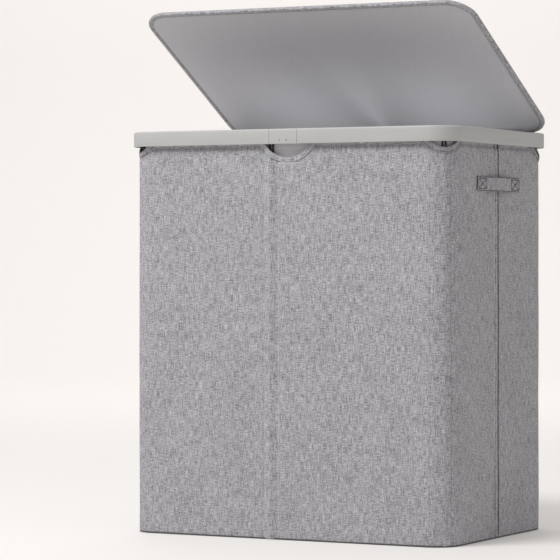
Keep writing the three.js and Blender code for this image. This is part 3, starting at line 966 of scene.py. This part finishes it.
def quarter_round(centre, radius, start, count=6):
    """Places on a quarter circle from the angle start, clockwise."""
    angles = [start - math.pi / 2 * i / count for i in range(count + 1)]
    return [(centre[0] + radius * math.cos(a), centre[1] + radius * math.sin(a)) for a in angles]


def rim_profile():
    """Cross-section as (depth behind the outer face, height): a channel open downwards, its edges rounded."""
    wall, soft, big, small = 2 * MM, 0.6 * MM, 2.6 * MM, 1.8 * MM
    points = [(wall, RIM_BOTTOM)] + quarter_round((soft, RIM_BOTTOM + soft), soft, -math.pi / 2, 3)
    points += quarter_round((big, RIM_TOP - big), big, math.pi)
    points += quarter_round((RIM_BAND - small, RIM_TOP - small), small, math.pi / 2)
    points += quarter_round((RIM_BAND - soft, RIM_BOTTOM + soft), soft, 0.0, 3)
    points += [(RIM_BAND - wall, RIM_BOTTOM), (RIM_BAND - wall, RIM_TOP - wall), (wall, RIM_TOP - wall)]
    return points


def rim_stretch(name, start, end):
    """One length of rim from start to end along the outline, its cut ends slightly eased."""
    columns = [start]
    for s in spread(start, end, 4 * MM)[1:]:
        kind = RIM.parts[RIM.locate(s)[0]][0]
        if kind == "arc" or s - columns[-1] > 30 * MM:
            columns.append(s)
    columns.append(end)
    profile = rim_profile()
    places, flat = [], []
    for s in columns:
        index, share = RIM.locate(s)
        outer, _ = RIM.along(index, share)
        inner, _ = RIM_INSIDE.along(index, share)
        across = [outer.lerp(inner, depth / RIM_BAND) for depth, _ in profile]
        places.append([(place.x, place.y, z) for place, (_, z) in zip(across, profile)])
        flat.append([(s, k * 2 * MM) for k in range(len(profile) + 1)])
    mesh = grid_mesh(name, places, flat, wrap_v=True, caps=True)
    made = new_object(name, mesh, look("rim", rim_plastic), crease_angle=35)
    edges = made.modifiers.new("eased_ends", "BEVEL")
    edges.width, edges.segments = 0.35 * MM, 2
    edges.limit_method, edges.angle_limit = "ANGLE", math.radians(50)
    return settle(made, "rim_plastic")


def cut_holes(made, spots, radius, reach):
    """Cuts round holes along Y at (x, y, z) spots."""
    bm = bmesh.new()
    for spot in spots:
        turn = Matrix.Translation(spot) @ Matrix.Rotation(math.pi / 2, 4, "X")
        bmesh.ops.create_cone(bm, cap_ends=True, segments=24, radius1=radius, radius2=radius, depth=reach,
                              matrix=turn)
    mesh = bpy.data.meshes.new("holes")
    bm.to_mesh(mesh)
    bm.free()
    cutter = add_object("holes", mesh)
    modifier = made.modifiers.new("holes", "BOOLEAN")
    modifier.object = cutter
    modifier.operation = "DIFFERENCE"
    bpy.context.view_layer.update()
    shape = bpy.data.meshes.new_from_object(made.evaluated_get(bpy.context.evaluated_depsgraph_get()))
    made.modifiers.clear()
    made.data = shape
    bpy.data.objects.remove(cutter)


def make_rim():
    """Two halves and two links, with a tongue behind each link and a socket for each rod."""
    half = RIM.length / 2
    clear = CONNECTOR_HALF + 0.3 * MM
    for side, start in (("right", 0.0), ("left", half)):
        stretch = rim_stretch(f"rim_{side}", start + clear, start + half - clear)
        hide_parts(f"rim_half_{side}")
    for end, sign in ENDS:
        middle = 0.0 if sign < 0 else half
        link = rim_stretch(f"rim_link_{end}", middle - CONNECTOR_HALF, middle + CONNECTOR_HALF)
        pins = [centre_of(f"connector_pin_{end}_{side}") for side, _ in SIDES]
        cut_holes(link, pins, 1.55 * MM, 60 * MM)
        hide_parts(f"rim_connector_{end}")
        lowest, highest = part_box(f"rim_connector_{end}")
        y = sign * (RIM_Y - 10 * MM)
        block_piece(f"rim_tongue_{end}", (lowest.x, y - 7.5 * MM, 631.5 * MM),
                    (highest.x, y + 7.5 * MM, 637.5 * MM))
    for name, turn in RODS:
        middle = centre_of(f"support_rod_{name}")
        socket = block_piece(f"rod_socket_{name}", (-6.5 * MM, -3.2 * MM, 621 * MM),
                             (6.5 * MM, 3.2 * MM, 637 * MM))
        socket.data.transform(Matrix.Translation((middle.x, middle.y, 0)) @ Matrix.Rotation(turn, 4, "Z"))


def block_piece(name, lowest, highest):
    """Small moulded block with eased edges."""
    bm = bmesh.new()
    bmesh.ops.create_cube(bm, size=1.0)
    lowest, highest = Vector(lowest), Vector(highest)
    for vert in bm.verts:
        vert.co = (lowest + highest) / 2 + Vector(c * s for c, s in zip(vert.co, highest - lowest))
    bmesh.ops.bevel(bm, geom=bm.edges, offset=0.5 * MM, segments=2, affect="EDGES", profile=0.5)
    mesh = bpy.data.meshes.new(name)
    bm.to_mesh(mesh)
    bm.free()
    return settle(new_object(name, mesh, look("rim", rim_plastic), crease_angle=40), "rim_plastic")


# ---- support rods and rivets ---------------------------------------------------------------------
RIVETS = [centre_of(f"hinge_rivet_{i}").x for i in (1, 2, 3)]
RIVET_Z = centre_of("hinge_rivet_1").z


def tube(name, path, across, radius, material, sides=10):
    """Round wire along a path. across is a direction square to it, one for all or one for each place."""
    path = [Vector(p) for p in path]
    places, flat, along = [], [], 0.0
    for i, point in enumerate(path):
        ahead = (path[min(i + 1, len(path) - 1)] - path[max(i - 1, 0)]).normalized()
        side = Vector(across[i] if isinstance(across, list) else across)
        side = (side - ahead * side.dot(ahead)).normalized()
        up = ahead.cross(side)
        angles = [2 * math.pi * k / sides for k in range(sides)]
        places.append([tuple(point + radius * (math.cos(a) * side + math.sin(a) * up)) for a in angles])
        along += (point - path[i - 1]).length if i else 0
        flat.append([(along, k * radius) for k in range(sides + 1)])
    return new_object(name, grid_mesh(name, places, flat, wrap_v=True, caps=True), material, crease_angle=60)


def make_rods():
    spacing, radius = 5.3 * MM, 1.5 * MM
    bend = spacing / 2
    for name, turn in RODS:
        node = f"support_rod_{name}"
        lowest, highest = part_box(node)
        middle = centre_of(node)
        along = Vector((math.cos(turn), math.sin(turn), 0))
        low_z = lowest.z + radius + bend
        path = [(-bend, z) for z in np.linspace(highest.z, low_z, 14)]
        turns = np.linspace(0.2, math.pi - 0.2, 9)
        path += [(-bend * math.cos(a), low_z - bend * math.sin(a)) for a in turns]
        path += [(bend, z) for z in np.linspace(low_z, highest.z, 14)]
        points = [Vector((middle.x, middle.y, z)) + along * d for d, z in path]
        across = Vector((-along.y, along.x, 0))
        settle(tube(f"wire_{name}", points, across, radius, look("wire", dark_wire)), "rod_steel", node)


def make_rivets():
    """Push rivets with a low domed head on the flap."""
    sides = 28
    section = ((0.0, 1.0), (1.6, 0.97), (3.2, 0.75), (4.2, 0.4), (4.5, 0.05), (4.3, -0.05), (2.0, -0.05),
               (2.0, -3.2), (0.0, -3.3))
    for i, x in enumerate(RIVETS):
        face = high(f"hinge_rivet_{i + 1}").y - 1.0 * MM
        profile = [(radius * MM, face + out * MM) for radius, out in section]
        places, flat = [], []
        for k in range(sides):
            a = 2 * math.pi * k / sides
            places.append([(x + r * math.cos(a), y, RIVET_Z + r * math.sin(a)) for r, y in profile])
            flat.append(profile)
        flat.append(flat[0])
        mesh = grid_mesh(f"rivet_{i + 1}", places, flat, wrap_u=True)
        made = new_object(f"rivet_{i + 1}", mesh, look("rivet", rivet_plastic), crease_angle=40)
        settle(made, "rivet_plastic", f"hinge_rivet_{i + 1}")


# ---- straps and flap -----------------------------------------------------------------------------
def ribbon(name, path, across, width, thickness, material, columns=2):
    """Strap along a path. across is its width direction, one vector or one for each place on the path."""
    path = [Vector(p) for p in path]
    half, thick = width / 2, thickness / 2
    steps = [half * (2 * k / columns - 1) * (1 - thickness / width) for k in range(columns + 1)]
    section = [(-half, 0.0)] + [(a, thick) for a in steps]
    section += [(half, 0.0)] + [(a, -thick) for a in reversed(steps)]
    places, flat, along = [], [], 0.0
    for i, point in enumerate(path):
        ahead = (path[min(i + 1, len(path) - 1)] - path[max(i - 1, 0)]).normalized()
        side = Vector(across[i] if isinstance(across, list) else across).normalized()
        up = ahead.cross(side).normalized()
        places.append([tuple(point + side * a + up * b) for a, b in section])
        along += (point - path[i - 1]).length if i else 0
        cloth = [(along, a) for a, _ in section]
        flat.append(cloth + [cloth[0]])
    mesh = grid_mesh(name, places, flat, wrap_v=True, caps=True)
    return new_object(name, mesh, material, crease_angle=50)


def box_and_cross(name, corners, normal, material, radius=THREAD):
    """Stitched rectangle with a cross inside, from its four corners."""
    corners = [Vector(c) for c in corners]
    runs = [(0, 1), (1, 2), (2, 3), (3, 0), (0, 2), (1, 3)]
    for i, (a, b) in enumerate(runs):
        line = [corners[a].lerp(corners[b], t) for t in np.linspace(0.03, 0.97, 12)]
        stitches(f"{name}_{i + 1}", line, [normal] * 12, material, BODY, 2.9 * MM, 0.8, radius)


def make_side_handles():
    for side, sx in SIDES:
        node = f"side_handle_{side}"
        lowest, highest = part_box(node)
        _, middle, z = centre_of(node)
        half, width = (highest.y - lowest.y) / 2, highest.z - lowest.z
        thick, lift = 1.5 * MM, 5.7 * MM
        sewn, lifted = half - 36 * MM, half - 48 * MM
        path = []
        for y in np.linspace(-half, half, 61):
            t = min(1.0, max(0.0, (sewn - abs(y)) / (sewn - lifted)))
            out = 0.5 * MM + (lift - 1.0 * MM) * t * t * (3 - 2 * t) + thick / 2
            out += 0.5 * MM * math.cos(math.pi * y / (2 * lifted)) * (abs(y) < lifted)
            path.append((sx * (WALL_X + out), middle + y, z))
        strap = ribbon(f"strap_{side}", path, (0, 0, sx), width, thick, heather_cloth(), columns=6)
        settle(strap, "heather_fabric", node)
        edge = path[0][0] + sx * (thick / 2 + 0.05 * MM)
        for end, sign in ENDS:
            y0, y1 = middle + sign * (half - 3 * MM), middle + sign * (sewn + 3.5 * MM)
            z0, z1 = z - width / 2 + 3 * MM, z + width / 2 - 3 * MM
            corners = [(edge, y0, z0), (edge, y1, z0), (edge, y1, z1), (edge, y0, z1)]
            box_and_cross(f"strap_stitching_{side}_{end}", corners, (sx, 0, 0), cord_cloth(), 0.7 * MM)
        top = [(x, y, z + width / 2 - 0.9 * MM) for x, y, _ in path]
        bottom = [(x, y, z - width / 2 + 0.9 * MM) for x, y, _ in reversed(path)]
        sew_cord(f"strap_cord_{side}", top + bottom + top[:2], (sx, 0, 0), 0.85 * MM)


def make_flap():
    """One strip of cloth from the top of the lid over the hinge and down the back of the rim."""
    leaf_length, leaf_height = 28 * MM, 3.9 * MM
    on_lid = [LID_PLACE @ Vector((0, y, leaf_height)) for y in np.linspace(-leaf_length, -1.0 * MM, 8)]
    face = low("hinge_flap_rim").y + 0.4 * MM
    on_rim = [Vector((0, face, z)) for z in np.linspace(RIM_TOP - 1.5 * MM, low("hinge_flap_rim").z, 8)]
    a, d = on_lid[-1], on_rim[0]
    b = a + (on_lid[-1] - on_lid[-2]).normalized() * 3.2 * MM
    c = d + Vector((0, 0.3 * MM, 3.6 * MM))
    bend = []
    for t in np.linspace(0, 1, 12)[1:-1]:
        u = 1 - t
        bend.append(a * u ** 3 + b * 3 * u * u * t + c * 3 * u * t * t + d * t ** 3)
    path = on_lid + bend + on_rim
    width = high("hinge_flap_rim").x - low("hinge_flap_rim").x
    flap = ribbon("hinge_flap", path, (1, 0, 0), width, 0.8 * MM, heather_cloth(), columns=24)
    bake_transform(flap)
    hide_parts("hinge_flap_lid", "hinge_flap_rim")
    up = (LID_PLACE.to_3x3() @ Vector((0, 0, 1))).normalized()
    for k, y in enumerate((-leaf_length + 2.5 * MM, -leaf_length + 8 * MM)):
        xs = np.linspace(-width / 2, width / 2, 120)
        line = [LID_PLACE @ Vector((x, y, leaf_height + 0.45 * MM)) for x in xs]
        stitches(f"flap_stitching_{k + 1}", line, [up] * 120, light_thread(), LID, pitch=4 * MM)


# ---- lid -----------------------------------------------------------------------------------------
LID_FACE = LID_PLACE @ Matrix.Translation((0, -LID_DEPTH / 2, 0))
LID_OUTLINE = Outline(LID_X, LID_DEPTH / 2, LID_CORNER)


def lid_crease(x, depth):
    """Fold line across the middle of the lid."""
    return -groove(x, 1.5 * MM, depth)


def make_lid():
    inset = 1.5 * MM
    near_fold = [x * MM for x in (-6, -4, -2.6, -1.6, -0.8, 0, 0.8, 1.6, 2.6, 4, 6)]

    def top(x, y):
        return 2.35 * MM + waves((x, y, 3), 0.15, 0.35 * MM) - lid_crease(x, 0.9 * MM)

    def under(x, y):
        return -2.35 * MM + waves((x, y, 9), 0.17, 0.15 * MM) + lid_crease(x, 0.12 * MM)

    half_x, half_y = LID_X - inset, LID_DEPTH / 2 - inset
    cover = rounded_sheet("lid_cover", half_x, half_y, LID_CORNER - inset, top, heather_cloth(), LID_FACE,
                          rows=40, dense_x=near_fold)
    solidify(cover, 1.0 * MM)
    lining = rounded_sheet("lid_underside", half_x, half_y, LID_CORNER - inset, under,
                           look("lid_lining", smooth_lining, "lid_lining_cloth", 0.52, 1.3), LID_FACE,
                           up=False, rows=40, dense_x=near_fold)
    solidify(lining, 0.5 * MM)
    for piece, node, slot in ((cover, "lid_top_cover", "heather_fabric"),
                              (lining, "lid_lining", "lining_fabric")):
        settle(piece, slot, node, body=LID)
    make_binding()


def make_binding():
    outside = [(8.0, 2.55), (7.7, 3.05), (6.6, 3.0), (5.2, 3.2), (3.0, 3.15), (1.4, 2.85), (0.45, 2.0),
               (0.0, 0.8)]
    inside = [(1.0, 0.0), (1.1, -1.6), (1.6, -2.3), (8.0, -2.45)]
    profile = outside + [(d, -z) for d, z in reversed(outside)]
    profile += inside[::-1] + [(d, -z) for d, z in inside[1:]]
    profile = [(d * MM, z * MM) for d, z in profile]
    columns = spread(0, LID_OUTLINE.length, 5 * MM)
    places, flat = [], []
    for s in columns:
        base, normal = LID_OUTLINE.at(s)
        pucker = waves((base.x, base.y, 0), 0.02, 0.14 * MM)
        ring = []
        for d, z in profile:
            point = base - normal * d + Vector((0, 0, z + (pucker if z > 0 else -pucker) * (d > 2 * MM)))
            ring.append(tuple(LID_FACE @ point))
        places.append(ring)
        flat.append([(s, d + z) for d, z in profile + profile[:1]])
    flat.append([(LID_OUTLINE.length, d + z) for d, z in profile + profile[:1]])
    mesh = grid_mesh("lid_edge_binding", places, flat, wrap_u=True, wrap_v=True)
    settle(new_object("lid_edge_binding", mesh, heather_cloth()), "heather_fabric", "lid_binding", body=LID)
    turn = LID_FACE.to_3x3()
    # These stitches are partly real thread and partly painted shade: their dark tone stands in for the
    # shading along the binding's wavy inner edge.
    for face, z in (("top", 3.05 * MM), ("under", -2.7 * MM)):
        line, normals = [], []
        for s in columns + columns[:1]:
            base, normal = LID_OUTLINE.at(s)
            line.append(tuple(LID_FACE @ (base - normal * 6.6 * MM + Vector((0, 0, z)))))
            normals.append(tuple(turn @ Vector((0, 0, 1 if z > 0 else -1))))
        stitches(f"binding_stitching_and_shade_{face}", line, normals, grey_thread(), LID, pitch=3.6 * MM)


# ---- liner bags ----------------------------------------------------------------------------------
BAG_PANELS = ("front_panel", "rear_panel", "inner_panel", "outer_panel", "bottom")


def bag_lattice(half_x, half_y, base_z, top_z, radius, cell):
    """Open box of near-square cells with round upright corners: its places, faces, cloth corners and rows."""
    nx, ny = round(2 * half_x / cell), round(2 * half_y / cell)
    nz = round((top_z - base_z) / cell)
    index, places, rows = {}, [], []

    def vertex(i, j, k):
        if (i, j, k) not in index:
            x, y = half_x * (2 * i / nx - 1), half_y * (2 * j / ny - 1)
            dx, dy = abs(x) - (half_x - radius), abs(y) - (half_y - radius)
            if dx > 0 and dy > 0:
                shrink = max(dx, dy) / math.hypot(dx, dy)
                x = math.copysign(half_x - radius + dx * shrink, x)
                y = math.copysign(half_y - radius + dy * shrink, y)
            index[i, j, k] = len(places)
            places.append((x, y, base_z + (top_z - base_z) * k / nz))
            rows.append(k)
        return index[i, j, k]

    ring = [(i, 0) for i in range(nx)] + [(nx, j) for j in range(ny)]
    ring += [(i, ny) for i in range(nx, 0, -1)] + [(0, j) for j in range(ny, 0, -1)]
    faces, cloth = [], []
    for c in range(len(ring)):
        a, b = ring[c], ring[(c + 1) % len(ring)]
        for k in range(nz):
            faces.append((vertex(*a, k), vertex(*b, k), vertex(*b, k + 1), vertex(*a, k + 1)))
            cloth.append([(c * cell, k * cell), ((c + 1) * cell, k * cell),
                          ((c + 1) * cell, (k + 1) * cell), (c * cell, (k + 1) * cell)])
    for i in range(nx):
        for j in range(ny):
            faces.append((vertex(i, j, 0), vertex(i, j + 1, 0), vertex(i + 1, j + 1, 0), vertex(i + 1, j, 0)))
            cloth.append([(i * cell, j * cell), (i * cell, (j + 1) * cell),
                          ((i + 1) * cell, (j + 1) * cell), ((i + 1) * cell, j * cell)])
    return places, faces, cloth, rows, nz


def hang_bag(mesh, rows, nz, slack):
    """Lets the bag settle from its hem under its own weight, cut a little larger than the space it fills."""
    bag = add_object("settling_bag", mesh)
    bag.shape_key_add(name="Basis")
    cloth_size = bag.shape_key_add(name="cut_size")
    for i, vert in enumerate(mesh.vertices):
        cloth_size.data[i].co = (vert.co.x * slack[0], vert.co.y * slack[0], vert.co.z * slack[1])
    pinned = bag.vertex_groups.new(name="hem")
    hem_rows = 3
    pinned.add([i for i, k in enumerate(rows) if k >= nz - hem_rows], 1.0, "REPLACE")
    modifier = bag.modifiers.new("cloth", "CLOTH")
    settings = modifier.settings
    settings.quality = 5
    settings.mass = 0.12
    settings.tension_stiffness = settings.compression_stiffness = 12
    settings.shear_stiffness = 6
    settings.bending_stiffness = 0.35
    settings.air_damping = 3
    settings.vertex_group_mass = "hem"
    settings.rest_shape_key = cloth_size
    modifier.collision_settings.use_collision = False
    settling_frames = 34
    modifier.point_cache.frame_start, modifier.point_cache.frame_end = 1, settling_frames
    scene = bpy.context.scene
    for moment in range(1, settling_frames + 1):
        scene.frame_set(moment)
    settled = bag.evaluated_get(bpy.context.evaluated_depsgraph_get()).to_mesh()
    places = [tuple(vert.co) for vert in settled.vertices]
    scene.frame_set(1)
    bpy.data.objects.remove(bag)
    return places


def make_bags():
    lowest, highest = low("liner_right_inner_panel"), high("liner_right_outer_panel")
    rear = high("liner_right_rear_panel").y
    base_z, top_z = low("liner_right_bottom").z, high("liner_right_rear_panel").z
    middle = (lowest.x + highest.x) / 2
    half_x, half_y = (highest.x - lowest.x) / 2, rear
    inset, cell = 0.7 * MM, 9.8 * MM
    places, faces, cloth, rows, nz = bag_lattice(half_x - inset, half_y - inset, base_z + inset,
                                                 top_z - 0.2 * MM, 14 * MM, cell)
    places = hang_bag(mesh_of("bag_cut", places, faces), rows, nz, slack=(1.018, 1.012))
    for side, sx in SIDES:
        shaped = []
        for x, y, z in places:
            x = max(-half_x + inset, min(half_x - inset, x))
            y = max(-half_y + inset, min(half_y - inset, y))
            shaped.append((sx * (x + middle), sx * y, max(z, base_z + inset)))
        mesh = mesh_of(f"bag_{side}", shaped, faces)
        add_cloth_map(mesh, cloth)
        bag = new_object(f"bag_{side}", mesh, look("bag", bag_cloth))
        smooth = bag.modifiers.new("smooth", "SUBSURF")
        smooth.levels = smooth.render_levels = 1
        solidify(bag, 0.5 * MM, even=False)
        settle(bag, "liner_fabric", *[f"liner_{side}_{panel}" for panel in BAG_PANELS])
        make_bag_trim(side, sx, middle, half_x, half_y, top_z)


def make_bag_trim(side, sx, middle, half_x, half_y, top_z):
    """Hem band, its stitching, and the two webbing loops of one bag."""
    hem = 30 * MM
    outline = Outline(half_x - 1.5 * MM, half_y - 1.5 * MM, 13 * MM, sx * middle)
    columns = spread(0, outline.length, 8 * MM)
    heights = np.linspace(top_z - hem, top_z - 0.1 * MM, 5)

    def sway(place, z):
        return waves((place.x, place.y, 0), 0.05, 0.25 * MM, 2.0)

    band = upright_band(f"bag_hem_{side}", outline, columns, heights, sway, look("bag", bag_cloth), 0.6 * MM)
    settle(band, "liner_fabric")
    stitch_round(f"bag_hem_stitching_{side}", outline, columns + columns[:1], top_z - hem + 2.5 * MM,
                 lambda place, z: -0.75 * MM, grey_thread(), facing=-1, pitch=4 * MM)
    for end, sy in ENDS:
        node = f"liner_handle_{side}_{end}"
        lowest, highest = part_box(node)
        face = (lowest.y + highest.y) / 2
        centre = (lowest.x + highest.x) / 2
        radius, leg_top = 45 * MM, highest.z
        arc_z = lowest.z + radius + 10 * MM
        path, across = [], []
        for z in np.linspace(leg_top, arc_z, 8):
            path.append((centre - radius, face, z))
            across.append((1, 0, 0))
        for a in np.linspace(0, math.pi, 25)[1:-1]:
            droop = 3.0 * MM * math.sin(a)
            path.append((centre - radius * math.cos(a), face - sy * droop, arc_z - radius * math.sin(a)))
            across.append((math.cos(a), 0, math.sin(a)))
        for z in np.linspace(arc_z, leg_top, 8):
            path.append((centre + radius, face, z))
            across.append((-1, 0, 0))
        tape = look("webbing", ribbed_webbing)
        settle(ribbon(f"webbing_{side}_{end}", path, across, 19.5 * MM, 1.4 * MM, tape, 4), "webbing", node)
        inner = face - sy * 0.75 * MM
        for k, x in enumerate((centre - radius, centre + radius)):
            x0, x1, z0, z1 = x - 7 * MM, x + 7 * MM, leg_top - 22 * MM, leg_top - 3 * MM
            corners = [(x0, inner, z0), (x1, inner, z0), (x1, inner, z1), (x0, inner, z1)]
            box_and_cross(f"webbing_stitching_{side}_{end}_{k + 1}", corners, (0, -sy, 0), light_thread())


# ---- CAD nodes that stay -------------------------------------------------------------------------
def finish_nodes():
    board, pin = look("board", fluted_board), look("rivet", rivet_plastic)
    for name, node in frame["nodes"].items():
        if "board" in name or name.startswith("connector_pin"):
            node.data.materials.clear()
            node.data.materials.append(board if "board" in name else pin)


make_camera()
make_studio()
make_floor()
make_cover()
edge_notches()
make_base()
make_lining()
back_corner_pockets()
make_rim()
make_rods()
make_rivets()
make_side_handles()
make_lid()
make_flap()
make_bags()
finish_nodes()
